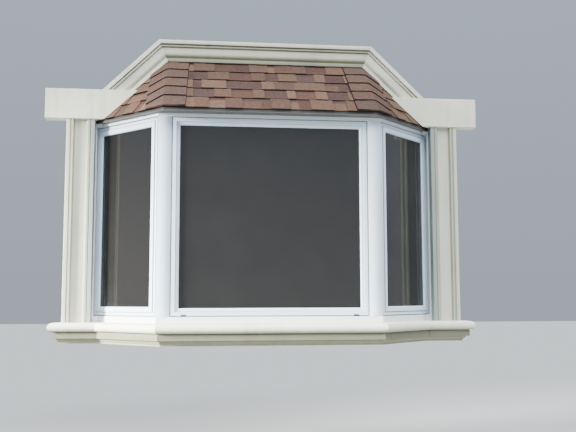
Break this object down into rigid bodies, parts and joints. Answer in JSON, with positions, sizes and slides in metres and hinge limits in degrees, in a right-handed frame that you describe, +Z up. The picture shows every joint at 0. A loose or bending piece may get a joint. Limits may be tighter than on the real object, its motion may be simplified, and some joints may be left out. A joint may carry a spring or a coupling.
{
  "type": "bay window",
  "caption": "Angled bay window with a fixed picture unit, casement flankers, hipped shingle roof, moulded crown, pilasters and a stepped sill, hung on a house wall.",
  "frame": {"origin": "centre of the wall ledger's back face, on the plane of the outer wall face, under the middle of the bay", "axes": "+X along the wall to the right seen from outside, -Y out of the wall towards the viewer, +Z up"},
  "size_m": [3.2002, 0.7211, 2.2165],
  "materials": {
    "coated_trim": "matte",
    "shingles": "matte",
    "timber": "matte",
    "sheathing": "matte",
    "board": "satin",
    "jamb_wood": "satin",
    "vinyl": "satin",
    "glass_unit": "polished",
    "screen": "matte",
    "crank_enamel": "satin",
    "reveal": "matte",
    "cladding": "satin",
    "eave_metal": "satin",
    "soffit": "matte",
    "underside": "matte",
    "insulation": "matte"
  },
  "bodies": {
    "root": {"belt_block_left": "coated_trim", "belt_block_right": "coated_trim", "casement_frame_left": "vinyl", "casement_frame_right": "vinyl", "casement_glass_left": "glass_unit", "casement_glass_right": "glass_unit", "casement_sash_left": "vinyl", "casement_sash_right": "vinyl", "corner_post_left": "vinyl", "corner_post_right": "vinyl", "crank_handle_left": "crank_enamel", "crank_handle_right": "crank_enamel", "crown_rake_left": "coated_trim", "crown_rake_right": "coated_trim", "crown_top": "coated_trim", "drip_edge": "eave_metal", "eave_soffit": "soffit", "head_board": "board", "head_cladding": "cladding", "hip_cap_left": "shingles", "hip_cap_right": "shingles", "hip_rafter_left": "timber", "hip_rafter_right": "timber", "insect_screen_left": "screen", "insect_screen_right": "screen", "picture_bead": "vinyl", "picture_frame": "vinyl", "picture_glass": "glass_unit", "pilaster_left": "coated_trim", "pilaster_right": "coated_trim", "rafter_left": "timber", "rafter_right": "timber", "reveal_trim_left": "reveal", "reveal_trim_right": "reveal", "roof_ledger": "timber", "roof_sheathing": "sheathing", "seat_board": "board", "seat_cladding": "cladding", "seat_insulation": "insulation", "seat_panel": "underside", "shingles_front": "shingles", "shingles_left": "shingles", "shingles_right": "shingles", "sill_front": "coated_trim", "sill_left": "coated_trim", "sill_right": "coated_trim", "wall_jamb_left": "jamb_wood", "wall_jamb_right": "jamb_wood", "wall_ledger": "timber"}
  },
  "joints": []
}
